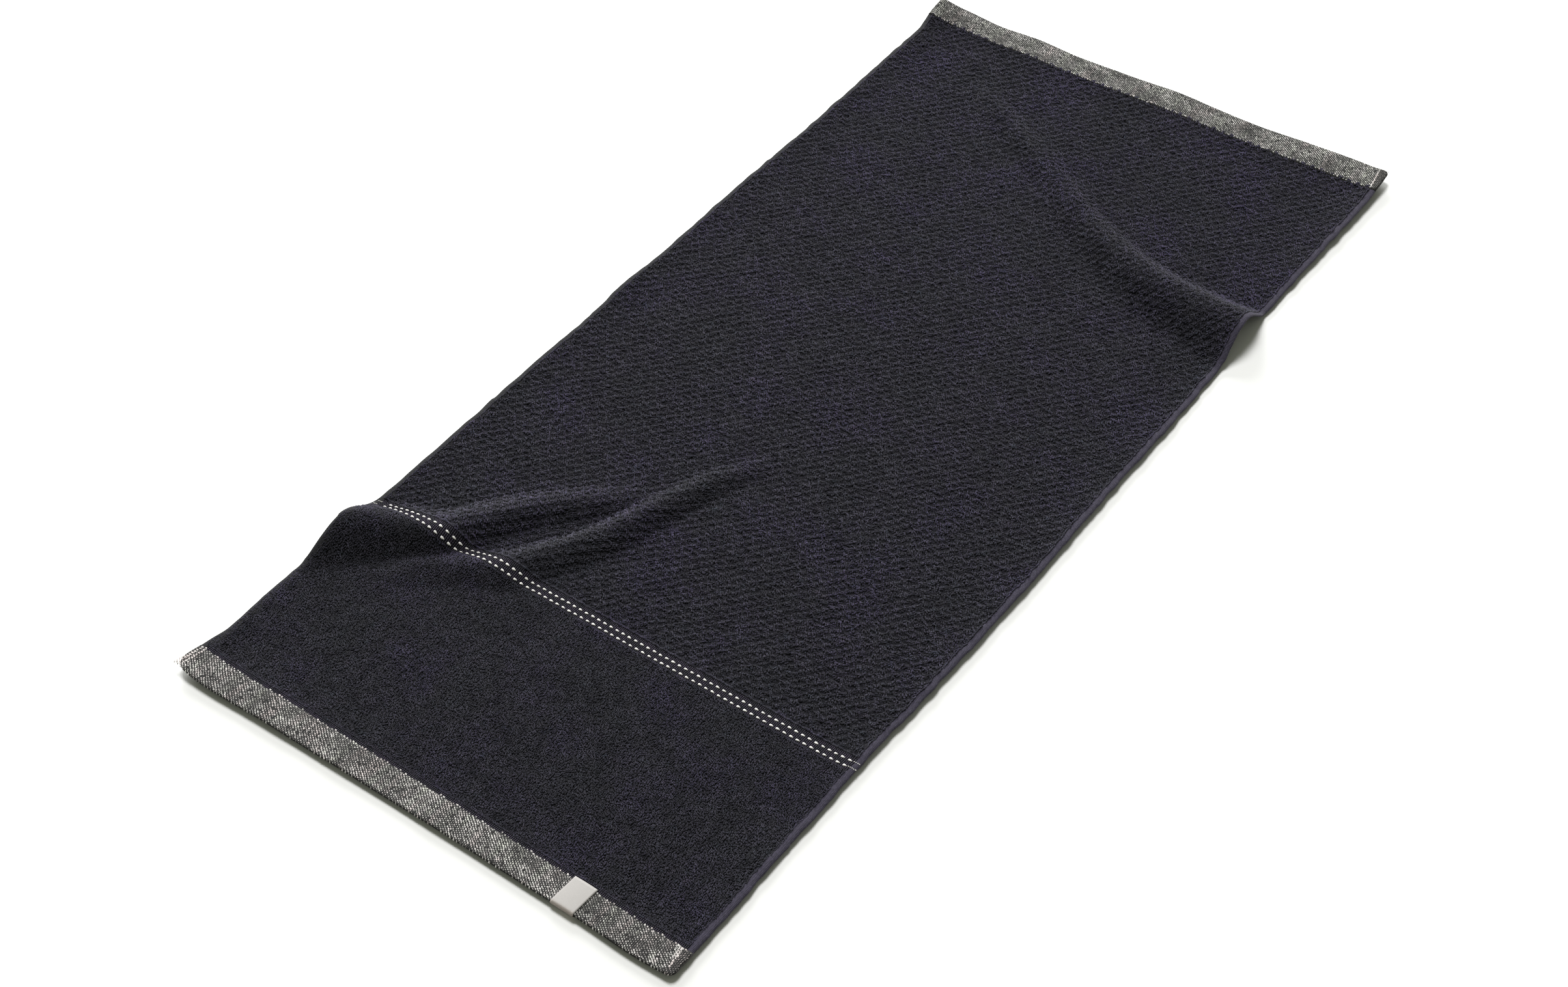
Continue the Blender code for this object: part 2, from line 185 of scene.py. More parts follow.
def fold_sheet(step):
    """The lie of the cloth on a regular grid of places: a point and the direction away from the floor."""
    across = np.arange(0.0, CLOTH_WIDTH + step / 2, step)
    along = np.arange(0.0, CLOTH_LENGTH + step / 2, step)
    bands = []
    for band in np.array_split(along, FOLD_BANDS):
        u, v = np.meshgrid(across, band)
        x, y = laid_plan(u, v)
        z = edge_lift(u, v)
        for table in (FIRST_CREASE, SECOND_CREASE, FAR_CREASE):
            z = z + crease_height(table, x, y)
        by_right, by_left = fade((CLOTH_WIDTH - u) / RIPPLE_REACH), fade(u / RIPPLE_REACH)
        x = x + RIPPLE * (drift(61, v, v, 13.0, 13.0) * by_right + drift(62, v, v, 17.0, 17.0) * by_left)
        z = z + RIPPLE * (1 + drift(63, v, v, 15.0, 15.0)) * (by_right + by_left) / 2
        z = z + RIPPLE * (1 + drift(64, u, v, 34.0, 42.0)) / 2
        bands.append(np.stack([x - MIDDLE_X, y - MIDDLE_Y, z], axis=-1))
    points = np.concatenate(bands)
    away = np.cross(np.gradient(points, axis=1), np.gradient(points, axis=0))
    away /= np.linalg.norm(away, axis=-1, keepdims=True)
    return np.concatenate([points, away], axis=-1)


fold = fold_sheet(FOLD_STEP)


def laid(u, v, height):
    """Points in the room, in metres, of places on the cut cloth at a height over its own underside."""
    row_at = np.asarray(v, float) / FOLD_STEP
    column_at = np.asarray(u, float) / FOLD_STEP
    row = np.clip(np.floor(row_at), 0, fold.shape[0] - 2).astype(int)
    column = np.clip(np.floor(column_at), 0, fold.shape[1] - 2).astype(int)
    over = (row_at - row)[..., None]
    beside = (column_at - column)[..., None]
    near = fold[row, column] * (1 - beside) + fold[row, column + 1] * beside
    far = fold[row + 1, column] * (1 - beside) + fold[row + 1, column + 1] * beside
    here = near * (1 - over) + far * over
    return (here[..., :3] + here[..., 3:] * np.asarray(height)[..., None]) * MM


def rounded_corners(u, v):
    """Moves the places that lie in the square at each corner of the cut into a quarter circle."""
    in_x = np.minimum(u, CLOTH_WIDTH - u)
    in_y = np.minimum(v, CLOTH_LENGTH - v)
    at_right, at_far = (u > CLOTH_WIDTH / 2).astype(int), (v > CLOTH_LENGTH / 2).astype(int)
    radius = np.array(CORNER_RADII)[at_far, at_right]
    out_x = np.clip(radius - in_x, 0.0, None)
    out_y = np.clip(radius - in_y, 0.0, None)
    reach = np.maximum(np.hypot(out_x, out_y), 1e-9)
    kept = np.where((out_x > 0) & (out_y > 0), np.maximum(out_x, out_y) / reach, 1.0)
    u = u + np.where(u < CLOTH_WIDTH / 2, 1, -1) * out_x * (1 - kept)
    v = v + np.where(v < CLOTH_LENGTH / 2, 1, -1) * out_y * (1 - kept)
    return u, v


def spaced(table):
    """Every line's place, from rows of (from, to, steps)."""
    places = [np.linspace(low, high, steps, endpoint=False) for low, high, steps in table]
    return np.concatenate(places + [[table[-1][1]]])


def mesh_piece(name, points, faces, maps):
    """A smooth object from its points, its faces, and its maps by name."""
    mesh = bpy.data.meshes.new(name)
    mesh.vertices.add(len(points))
    mesh.vertices.foreach_set("co", points.astype(np.float32).ravel())
    mesh.loops.add(faces.size)
    mesh.loops.foreach_set("vertex_index", faces.astype(np.int32).ravel())
    mesh.polygons.add(len(faces))
    mesh.polygons.foreach_set("loop_start", np.arange(0, faces.size, faces.shape[1], dtype=np.int32))
    mesh.update(calc_edges=True)
    for map_name, places in maps.items():
        layer = mesh.uv_layers.new(name=map_name)
        layer.data.foreach_set("uv", places[faces.ravel()].astype(np.float32).ravel())
    mesh.validate()
    mesh.shade_smooth()
    piece = bpy.data.objects.new(name, mesh)
    bpy.context.scene.collection.objects.link(piece)
    return piece


def cloth_maps(u, v):
    """The map that the patterns read, in millimetres of cloth, and the square one for baking."""
    baked = np.column_stack([u / CLOTH_WIDTH, v / CLOTH_LENGTH])
    return {"cloth": np.column_stack([u, v]), "OFBake": np.clip(0.01 + 0.98 * baked, 0.0, 1.0)}


def closed_faces(rows, columns):
    """Faces of a thin closed piece: a grid of points on top, then the same grid under it."""
    number = np.arange(rows * columns).reshape(rows, columns)
    upper = np.stack([number[:-1, :-1], number[:-1, 1:], number[1:, 1:], number[1:, :-1]], -1).reshape(-1, 4)
    lower = upper[:, ::-1] + number.size
    rim = np.concatenate([number[0, :-1], number[:-1, -1], number[-1, :0:-1], number[:0:-1, 0]])
    after = np.roll(rim, -1)
    wall = np.stack([after, rim, rim + number.size, after + number.size], -1)
    return np.concatenate([upper, lower, wall])


def closed_sheet(name, across, along, low, high):
    """A thin closed piece of cloth between two heights, over the lines across and along."""
    cut_u, cut_v = np.meshgrid(across, along)
    u, v = rounded_corners(cut_u, cut_v)
    top = laid(u, v, high(cut_u, cut_v)).reshape(-1, 3)
    under = laid(u, v, low(cut_u, cut_v)).reshape(-1, 3)
    maps = cloth_maps(np.tile(u.ravel(), 2), np.tile(v.ravel(), 2))
    return mesh_piece(name, np.concatenate([top, under]), closed_faces(*cut_u.shape), maps)


def rounded_edge(u, v, radius):
    """0 at the edge of the cut and 1 from a radius inside it, along a quarter circle."""
    inside = np.minimum(np.minimum(u, CLOTH_WIDTH - u), np.minimum(v, CLOTH_LENGTH - v))
    return np.sqrt(1 - (1 - np.clip(inside / radius, 0.0, 1.0)) ** 2)


PILE_ROOT = 2.3
GROUND_INSET = 3.0
GROUND_LOW = 0.1
INSIDE_HEM_LOW = 1.5
INSIDE_HEM_HIGH = 2.6
STEP_WIDTH = 2.0


def under_pile(u, v):
    """1 where the ground has pile on it, 0 in the hems and the flat strips, with a short step between."""
    def inside(place, start, end):
        return np.clip(np.minimum(place - start, end - place) / STEP_WIDTH + 0.5, 0.0, 1.0)

    rows = inside(v, NEAR_STRIP_END, DASH_STRIP_START) + inside(v, DASH_STRIP_END, FAR_HEM_START)
    return rows * inside(u, SIDE_HEM, CLOTH_WIDTH - SIDE_HEM)


def ground_low(u, v):
    return INSIDE_HEM_LOW + (GROUND_LOW - INSIDE_HEM_LOW) * under_pile(u, v)


def ground_high(u, v):
    return INSIDE_HEM_HIGH + (PILE_ROOT - INSIDE_HEM_HIGH) * under_pile(u, v)


ground = closed_sheet(
    "terry_ground",
    spaced([
        (GROUND_INSET, 7, 1), (7, 9, 1), (9, 491, 72), (491, 493, 1), (493, CLOTH_WIDTH - GROUND_INSET, 1),
    ]),
    spaced([
        (GROUND_INSET, 29, 4), (29, 31, 1), (31, 224, 29), (224, 226, 1), (226, 238, 2), (238, 240, 1),
        (240, 1063, 122), (1063, 1065, 1), (1065, CLOTH_LENGTH - GROUND_INSET, 4),
    ]),
    ground_low,
    ground_high,
)


def new_material(name, colour, roughness, sheen=0.0, specular=0.25):
    """A material with its plain finish set on the shader; the pattern nodes are joined on afterwards."""
    material = bpy.data.materials.new(name)
    material.use_nodes = True
    material.diffuse_color = (*colour, 1.0)
    shader = material.node_tree.nodes["Principled BSDF"]
    shader.inputs["Base Color"].default_value = (*colour, 1.0)
    shader.inputs["Roughness"].default_value = roughness
    shader.inputs["Sheen Weight"].default_value = sheen
    shader.inputs["Sheen Roughness"].default_value = 0.6
    shader.inputs["Specular IOR Level"].default_value = specular
    return material


def add_node(material, kind, values=None, **settings):
    made = material.node_tree.nodes.new(kind)
    for name, value in settings.items():
        setattr(made, name, value)
    for name, value in (values or {}).items():
        made.inputs[name].default_value = value
    return made


def join(material, source, target):
    material.node_tree.links.new(source, target)


def map_places(material, map_name, scale=(1.0, 1.0)):
    """The places of one of the mesh's maps, stretched by a scale each way."""
    read = add_node(material, "ShaderNodeUVMap", uv_map=map_name)
    moved = add_node(material, "ShaderNodeMapping", {"Scale": (scale[0], scale[1], 1.0)})
    join(material, read.outputs["UV"], moved.inputs["Vector"])
    return moved.outputs["Vector"]


def noise(material, places, scale, detail=2.0):
    made = add_node(material, "ShaderNodeTexNoise", {"Scale": scale, "Detail": detail})
    join(material, places, made.inputs["Vector"])
    return made.outputs["Fac"]


def ramp(material, factor, stops):
    """Colours along a ramp, from rows of (place, colour)."""
    made = add_node(material, "ShaderNodeValToRGB")
    elements = made.color_ramp.elements
    while len(elements) > 1:
        elements.remove(elements[-1])
    elements[0].position = stops[0][0]
    elements[0].color = (*stops[0][1], 1.0)
    for place, colour in stops[1:]:
        elements.new(place).color = (*colour, 1.0)
    join(material, factor, made.inputs["Fac"])
    return made.outputs["Color"]


def mixed(material, factor, first, second, blend="MIX"):
    """Two colours mixed by a socket or a number; the node's colours are sockets 6 and 7, and 2 comes out."""
    made = add_node(material, "ShaderNodeMix", data_type="RGBA", blend_type=blend)
    if isinstance(factor, float):
        made.inputs[0].default_value = factor
    else:
        join(material, factor, made.inputs[0])
    join(material, first, made.inputs[6])
    join(material, second, made.inputs[7])
    return made.outputs[2]


def tinted(material, colour, *tints):
    """A colour multiplied by each of the tints."""
    for tint in tints:
        colour = mixed(material, 1.0, colour, tint, "MULTIPLY")
    return colour


def set_colour(material, colour):
    join(material, colour, material.node_tree.nodes["Principled BSDF"].inputs["Base Color"])


def set_bump(material, height, distance, strength=1.0):
    """Relief of a depth given in millimetres."""
    made = add_node(material, "ShaderNodeBump", {"Strength": strength, "Distance": distance * MM})
    join(material, height, made.inputs["Height"])
    join(material, made.outputs["Normal"], material.node_tree.nodes["Principled BSDF"].inputs["Normal"])


# Painted shade: the ground cloth is coloured far darker than the yarn, for the shade between the loops
ground_cotton = new_material("ground cotton painted dark as shade", (0.012, 0.012, 0.017), 0.95)
ground_places = map_places(ground_cotton, "cloth")
set_colour(ground_cotton, ramp(ground_cotton, noise(ground_cotton, ground_places, 0.35), [
    (0.3, (0.008, 0.008, 0.011)), (0.7, (0.020, 0.019, 0.027)),
]))
set_bump(ground_cotton, noise(ground_cotton, ground_places, 0.9, 3.0), 0.5)
ground.data.materials.append(ground_cotton)
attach(ground, "root")
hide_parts("towel")


# The pile of the plain band near the tab: short, dense cotton loops, each a small arch of yarn with its
# foot in the ground cloth. Size, lean and turn differ from loop to loop.
PLAIN_START = 29.0
PLAIN_END = 222.6
PLAIN_ROOT = 3.0
PILE_FROM_LEFT = 2.8
PILE_FROM_RIGHT = 6.2
# Beyond the wide strip more of the left hem is bare
PILE_MORE_LEFT = 2.0
MORE_FROM = 205.0
MORE_OVER = 25.0
# From here to the far end the dye runs a little more violet
VIOLET_FROM = 500.0
# The scattered loops keep clear of the close rows at the pile's edges
EDGE_CLEAR = 0.8
END_ROW_INSET = 0.3
END_ROW_PITCH = 1.15
SIDE_ROW_PITCH = 1.3
ROW_STRAY = 0.25


def arches(name, u, v, turn, length, width, root, rise, shade, lean=0.0):
    """One joined piece of small four-sided arches; turn is from the cloth's length, root gives heights."""
    along_u, along_v = -np.sin(turn), np.cos(turn)
    side_u, side_v = -along_v, along_u
    places = []
    for along, side in ((-0.5, 0.0), (0.0, -0.5), (0.5, 0.0), (0.0, 0.5)):
        foot_u = u + length * along * along_u + width * side * side_u
        foot_v = v + length * along * along_v + width * side * side_v
        places.append((foot_u, foot_v, root(foot_u, foot_v)))
    places.append((u + lean * side_u, v + lean * side_v, root(u, v) + rise))
    all_u, all_v, height = (np.stack([place[axis] for place in places], -1).ravel() for axis in range(3))
    pattern = np.array([(0, 1, 4), (1, 2, 4), (2, 3, 4), (3, 0, 4)])
    faces = (np.arange(len(u))[:, None, None] * 5 + pattern).reshape(-1, 3)
    maps = cloth_maps(all_u, all_v)
    # The yarn map holds each arch's shade, then 0 at its feet and 1 at its top; the pile's material uses the
    # latter to paint shade at the feet
    maps["yarn"] = np.column_stack([np.repeat(shade, 5), np.tile([0.0, 0.0, 0.0, 0.0, 1.0], len(u))])
    return mesh_piece(name, laid(all_u, all_v, height), faces, maps)


def pile_left(v):
    """Where the pile starts at the left, at each place along the cloth."""
    more = PILE_MORE_LEFT * (1 - fade((v - MORE_FROM) / MORE_OVER))
    return PILE_FROM_LEFT + more + 0.3 * drift(3, v, v, 4.0, 4.0)


def pile_right(v):
    return CLOTH_WIDTH - PILE_FROM_RIGHT + 0.7 * drift(4, v, v, 3.6, 3.6)


def scattered(random, low_v, high_v, pitch_u, pitch_v, stray_u, stray_v, ends):
    """Places in staggered rows over a band of the cloth, each a little astray, with firm edge rows."""
    columns = np.arange(PILE_FROM_LEFT - EDGE_CLEAR, CLOTH_WIDTH - PILE_FROM_RIGHT + EDGE_CLEAR, pitch_u)
    rows = np.arange(low_v - pitch_v / 2, high_v, pitch_v)
    u, v = np.meshgrid(columns, rows)
    v = v + np.where(np.arange(len(columns)) % 2, pitch_v / 2, 0.0)
    u = u + random.uniform(-stray_u, stray_u, u.shape)
    v = v + random.uniform(-stray_v, stray_v, v.shape)
    inside = (v > low_v) & (v < high_v) & (u > pile_left(v) + EDGE_CLEAR) & (u < pile_right(v) - EDGE_CLEAR)
    end_u = np.arange(PILE_FROM_LEFT + 1.5, CLOTH_WIDTH - PILE_FROM_RIGHT, END_ROW_PITCH)
    side_v = np.arange(low_v + 0.6, high_v, SIDE_ROW_PITCH)
    edge_u = np.concatenate([pile_left(side_v), pile_right(side_v)] + [end_u] * len(ends))
    edge_v = np.concatenate([side_v, side_v + 0.6] + [np.full(len(end_u), end) for end in ends])
    kept = edge_u > pile_left(edge_v) - 0.1
    edge_u = edge_u[kept] + random.uniform(-ROW_STRAY, ROW_STRAY, kept.sum())
    edge_v = edge_v[kept] + random.uniform(-ROW_STRAY, ROW_STRAY, kept.sum())
    return np.concatenate([u[inside], edge_u]), np.concatenate([v[inside], edge_v])


def pits(seed, u, v, size_u, size_v):
    """Scattered gaps in the pile, from 0 to 1 at the middle of a gap."""
    return np.clip(-1.7 * drift(seed, u, v, size_u, size_v) - 0.25, 0.0, 1.0)


def level(height):
    """A height that is the same all over."""
    return lambda u, v: np.full(np.shape(u), height)


random = np.random.default_rng(11)
u, v = scattered(
    random, PLAIN_START, PLAIN_END, pitch_u=1.5, pitch_v=1.52, stray_u=0.6, stray_v=0.6,
    ends=(PLAIN_START + END_ROW_INSET, PLAIN_END - END_ROW_INSET),
)
count = len(u)
gap = pits(15, u, v, 3.4, 2.8)
plain_pile = arches(
    "plain_pile", u, v,
    turn=0.3 + 1.2 * drift(12, u, v, 3.6, 3.6) + random.normal(0.0, 0.45, count),
    length=random.uniform(1.9, 3.7, count),
    width=random.uniform(1.1, 1.75, count),
    root=level(PLAIN_ROOT),
    rise=(random.uniform(0.8, 1.6, count) + 0.45 * drift(13, u, v, 3.2, 3.2)) * (1 - 0.65 * gap),
    lean=random.uniform(-0.3, 0.3, count),
    # Painted shade: the yarn is darker in the gaps of the pile
    shade=np.clip(random.random(count) + 0.4 * drift(14, u, v, 7.0, 7.0) - 0.6 * gap, 0.0, 1.0),
)


def apart(material, places):
    """A place's distances across and along, as two sockets."""
    made = add_node(material, "ShaderNodeSeparateXYZ")
    join(material, places, made.inputs[0])
    return made.outputs["X"], made.outputs["Y"]


def share_between(material, value, low, high):
    made = add_node(material, "ShaderNodeMapRange", {"From Min": low, "From Max": high})
    join(material, value, made.inputs["Value"])
    return made.outputs["Result"]


def pile_cotton(name, root, dull, bright):
    """Dyed cotton yarn in patches that drift in hue, with painted shade: dark at the loop's foot, lighter at
    its top.
    """
    material = new_material(name, bright, 0.95, sheen=0.08)
    yarn_shade, yarn_height = apart(material, map_places(material, "yarn"))
    cloth = map_places(material, "cloth")
    wide_patches = ramp(material, noise(material, cloth, 0.014, 5.0), [
        (0.37, (0.87, 0.92, 0.87)), (0.5, (1.0, 0.98, 1.01)), (0.63, (1.14, 1.03, 1.32)),
    ])
    small_patches = ramp(material, noise(material, cloth, 0.13, 2.0), [
        (0.30, (0.80, 0.96, 0.92)), (0.42, (1.0, 1.0, 1.0)),
        (0.58, (1.0, 1.0, 1.0)), (0.70, (1.12, 1.03, 1.03)),
    ])
    far_share = share_between(material, apart(material, cloth)[1], VIOLET_FROM, CLOTH_LENGTH)
    far_tint = ramp(material, far_share, [(0.1, (1.03, 1.03, 1.04)), (0.8, (0.96, 0.94, 1.05))])
    patches = tinted(material, wide_patches, far_tint, small_patches)
    loops = ramp(material, yarn_shade, [(0.0, dull), (1.0, bright)])
    # Painted shade at the loops' feet, from the root colour, fading out towards their tops
    painted_foot_shade = ramp(material, noise(material, cloth, 0.5), [
        (0.3, tuple(part * 0.7 for part in root)), (0.7, tuple(part * 1.3 for part in root)),
    ])
    set_colour(material, mixed(
        material, share_between(material, yarn_height, 0.15, 0.85), painted_foot_shade, tinted(material, loops, patches)
    ))
    set_bump(material, noise(material, cloth, 3.2, 2.0), 0.25)
    return material


# The first colour is the painted shade at the loops' feet
plain_pile.data.materials.append(pile_cotton(
    "plain pile cotton", (0.003, 0.003, 0.005), (0.021, 0.020, 0.031), (0.074, 0.070, 0.102)
))
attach(plain_pile, "root")


# The pile of the rest of the towel: longer loops that lie in strokes along the cloth, with rows of small
# dents in a staggered lattice, some deep and some hardly there. It is made as three joined pieces.
LUMPY_START = 237.4
LUMPY_END = 1067.0
LUMPY_ROOT = 3.4
DENT_PITCH_U = 9.58
DENT_PITCH_V = 11.4
# Counted back from a dent whose place across the cloth is known
FIRST_DENT_U = 404.5 - 42 * DENT_PITCH_U
FIRST_DENT_V = 239.8
# Rows and columns of dents
DENT_GRID = (80, 60)
DENT_HALF_WIDTH = 2.6
DENT_HALF_HEIGHT = 1.6
DENT_DROP = 1.4
# Beside the hems the pile stands full
FULL_BESIDE_HEM = 3.0


def dent_depth(u, v):
    """How deep the pile is dented at each place, from 0 to 1."""
    depth = np.zeros(np.shape(u))
    random = np.random.default_rng(5)
    for shift in (0.0, 0.5):
        strength = np.clip(random.normal(0.95, 0.3, DENT_GRID), 0.1, 1.0)
        stray_u = random.normal(0.0, 1.0, DENT_GRID)
        stray_v = random.normal(0.0, 0.65, DENT_GRID)
        if shift == 0.0:
            # The row beside the wide strip is even
            strength[0] = 1.0
            stray_v[0] = 0.0
        column = np.clip(np.rint((u - FIRST_DENT_U) / DENT_PITCH_U - shift), 0, DENT_GRID[1] - 1).astype(int)
        row = np.clip(np.rint((v - FIRST_DENT_V) / DENT_PITCH_V - shift), 0, DENT_GRID[0] - 1).astype(int)
        away_u = u - FIRST_DENT_U - (column + shift) * DENT_PITCH_U - stray_u[row, column]
        away_v = v - FIRST_DENT_V - (row + shift) * DENT_PITCH_V - stray_v[row, column]
        near = np.exp(-((away_u / DENT_HALF_WIDTH) ** 2) - (away_v / DENT_HALF_HEIGHT) ** 2)
        depth = np.maximum(depth, strength[row, column] * near)
    return depth * np.clip(np.minimum(u - pile_left(v), pile_right(v) - u) / FULL_BESIDE_HEM, 0.0, 1.0)


def bulge(u, v):
    """The pile's fullness between the dents, from -1 at a dent to 1 at the middle of a lump."""
    across = np.cos(2 * math.pi * (u - FIRST_DENT_U) / DENT_PITCH_U)
    return -across * np.cos(2 * math.pi * (v - FIRST_DENT_V) / DENT_PITCH_V)


def lumpy_root(u, v):
    return LUMPY_ROOT + 0.3 * bulge(u, v) - DENT_DROP * dent_depth(u, v)


LUMPY_ENDS = (LUMPY_START + END_ROW_INSET, LUMPY_END - END_ROW_INSET)
LUMPY_BANDS = [
    ("lumpy_pile_near", LUMPY_START, 514.0), ("lumpy_pile_middle", 514.0, 789.0),
    ("lumpy_pile_far", 789.0, LUMPY_END),
]
# The first colour is the painted shade at the loops' feet
lumpy_cotton = pile_cotton(
    "lumpy pile cotton", (0.003, 0.003, 0.005), (0.025, 0.023, 0.038), (0.090, 0.084, 0.126)
)
random = np.random.default_rng(23)
for band_name, band_start, band_end in LUMPY_BANDS:
    u, v = scattered(
        random, band_start, band_end, pitch_u=1.13, pitch_v=2.7, stray_u=0.35, stray_v=0.9,
        ends=[end for end in LUMPY_ENDS if band_start < end < band_end],
    )
    count = len(u)
    dent = np.maximum(dent_depth(u, v), 0.75 * pits(27, u, v, 3.4, 2.6))
    piece = arches(
        band_name, u, v,
        turn=0.7 * drift(24, u, v, 5.0, 5.0) + random.normal(0.0, 0.3, count),
        length=random.uniform(2.6, 4.3, count) * (1 - 0.3 * dent),
        width=random.uniform(1.3, 1.95, count),
        root=lumpy_root,
        rise=(
            random.uniform(0.9, 1.7, count) + 0.5 * drift(25, u, v, 3.8, 3.0) + 0.4 * bulge(u, v)
        ) * (1 - 0.9 * dent),
        lean=random.uniform(-0.35, 0.35, count),
        # Painted shade: the yarn is darker in the dents and gaps, and a little lighter on the lumps
        shade=np.clip(
            random.random(count) + 0.3 * drift(26, u, v, 6.0, 5.0) + 0.1 * bulge(u, v) - 1.1 * dent, 0.0, 1.0
        ),
    )
    piece.data.materials.append(lumpy_cotton)
    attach(piece, "root")


# The side hems: the ground cloth rolled under along both long edges and sewn down, without pile. They show
# as narrow violet-grey rolls, fuller in places, with fine threads across; the left one is the same cloth
# painted duller and greyer, as shade.
SIDE_HEM_MIDDLE = 2.0
SIDE_HEM_RADIUS = 1.1
SIDE_ROLL = 9.0
SIDE_ROLL_RISE = 1.35


def side_hem_high(u, v):
    from_edge = np.clip(np.minimum(u, CLOTH_WIDTH - u) / SIDE_ROLL, 0.0, 1.0)
    swell = 1 + 0.10 * np.sin(v / 17.0) + 0.08 * np.sin(v / 6.3 + 1.0)
    return SIDE_HEM_MIDDLE + SIDE_ROLL_RISE * np.sin(math.pi * from_edge ** 0.6) ** 0.7 * swell


def side_hem_low(u, v):
    return SIDE_HEM_MIDDLE - SIDE_HEM_RADIUS * rounded_edge(u, v, SIDE_HEM_RADIUS)


hem_across = spaced([(0.0, 0.3, 2), (0.3, 1.1, 2), (1.1, 5.1, 4), (5.1, SIDE_ROLL, 2)])
hem_along = spaced([(NEAR_HEM - 2, FAR_HEM_START + 2, 400)])
left_hem = closed_sheet("left_side_hem", hem_across, hem_along, side_hem_low, side_hem_high)
right_hem = closed_sheet(
    "right_side_hem", CLOTH_WIDTH - hem_across[::-1], hem_along, side_hem_low, side_hem_high
)


def waves(material, places, direction, pitch):
    """Even stripes from 0 to 1, a pitch in millimetres apart, across or along the cloth."""
    made = add_node(
        material, "ShaderNodeTexWave", {"Scale": 2 * math.pi / (20 * pitch)}, bands_direction=direction
    )
    join(material, places, made.inputs["Vector"])
    return made.outputs["Fac"]


def rolled_cotton(name, dark, middle, light, roughness, sheen):
    """Dyed hem cloth in patches of three shades, with the relief of its fine threads."""
    material = new_material(name, middle, roughness, sheen)
    patches = noise(material, map_places(material, "cloth", (1.0, 0.35)), 1.1, 3.0)
    set_colour(material, ramp(material, patches, [(0.3, dark), (0.5, middle), (0.7, light)]))
    set_bump(material, waves(material, map_places(material, "cloth"), "Y", HEM_THREAD_PITCH), 0.2)
    return material


HEM_THREAD_PITCH = 1.1
# Painted shade: the left hem is a darker, greyer copy of the right hem's cloth
left_hem.data.materials.append(rolled_cotton(
    "left hem cotton painted in shade", (0.013, 0.013, 0.014), (0.022, 0.022, 0.024), (0.036, 0.035, 0.040), 0.9, 0.05
))
right_hem.data.materials.append(rolled_cotton(
    "folded hem cotton", (0.023, 0.020, 0.034), (0.035, 0.030, 0.052), (0.054, 0.046, 0.078), 0.85, 0.08
))
for piece in (left_hem, right_hem):
    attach(piece, "root")


# The two flat strips: the pile stops there and the bare weave shows, in upright ribs 1.6 mm apart.
# One crosses the towel behind the near hem, and the wider one carries the two rows of light dashes.
RIB_PITCH = 1.6
RIB_RELIEF = 0.5
STRIP_HIGH = 3.2
# The strips reach a little under the hem and the pile beside them
NEAR_TUCK = 1.5
DASH_TUCK = 2.5


def strip_high(u, v):
    """The ribs, each uneven along its length and out of step with the next."""
    ribs = np.cos(2 * math.pi * u / RIB_PITCH)
    return STRIP_HIGH + RIB_RELIEF * ribs * (0.6 + 0.4 * np.sin(v * 2.4 + np.rint(u / RIB_PITCH) * 2.1))


rib_lines = np.arange(3 * RIB_PITCH, CLOTH_WIDTH - 2.5 * RIB_PITCH, RIB_PITCH / 2)
near_along = spaced([(NEAR_HEM - NEAR_TUCK, NEAR_STRIP_END + NEAR_TUCK, 5)])
dash_along = spaced([(DASH_STRIP_START - DASH_TUCK, LUMPY_START + 0.4, 12)])
near_strip = closed_sheet("near_flat_strip", rib_lines, near_along, level(INSIDE_HEM_LOW), strip_high)
dash_strip = closed_sheet("dash_strip", rib_lines, dash_along, level(INSIDE_HEM_LOW), strip_high)


def multiplied(material, first, second):
    made = add_node(material, "ShaderNodeMath", operation="MULTIPLY")
    join(material, first, made.inputs[0])
    join(material, second, made.inputs[1])
    return made.outputs["Value"]


strip_cotton = new_material("flat strip cotton", (0.024, 0.022, 0.031), 0.95, specular=0.08)
strip_places = map_places(strip_cotton, "cloth")
strip_ribs = waves(strip_cotton, strip_places, "X", RIB_PITCH)
strip_threads = multiplied(strip_cotton, strip_ribs, waves(strip_cotton, strip_places, "Y", RIB_PITCH))
# Painted shade and highlight: the ribs and threads are near black between them and lighter on their tops
rib_colour_and_shade = mixed(
    strip_cotton, 0.4,
    ramp(strip_cotton, strip_ribs, [
        (0.3, (0.0012, 0.0012, 0.0018)), (0.6, (0.010, 0.0095, 0.0125)), (0.95, (0.058, 0.055, 0.071)),
    ]),
    ramp(strip_cotton, strip_threads, [(0.0, (0.0012, 0.0012, 0.0018)), (1.0, (0.106, 0.101, 0.127))]),
)
strip_patches = ramp(strip_cotton, noise(strip_cotton, strip_places, 0.16, 3.0), [
    (0.35, (0.80, 0.84, 0.80)), (0.65, (1.25, 1.12, 1.28)),
])
set_colour(strip_cotton, tinted(strip_cotton, rib_colour_and_shade, strip_patches))
set_bump(strip_cotton, strip_threads, 0.15)
for piece in (near_strip, dash_strip):
    piece.data.materials.append(strip_cotton)
    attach(piece, "root")


# The dashes: floats of undyed yarn woven into the wide strip, in two rows, each plump at its left end.
# Every dash is a low rounded drop; small dots of the same yarn run on to the side hems.
DASH_PITCH = 6.4
DASH_LENGTH = 3.9
DASH_WIDTH = 2.1
DASH_RISE = 0.6
# Where one dash of each row starts, and the row's place along the cloth
DASH_ROWS = [(405.6, 231.5), (405.2, 225.3)]
DASH_FIRST = 9.0
DASH_LAST = 494.5
LEFT_DOTS = 3
RIGHT_DOTS_AFTER = 1.2


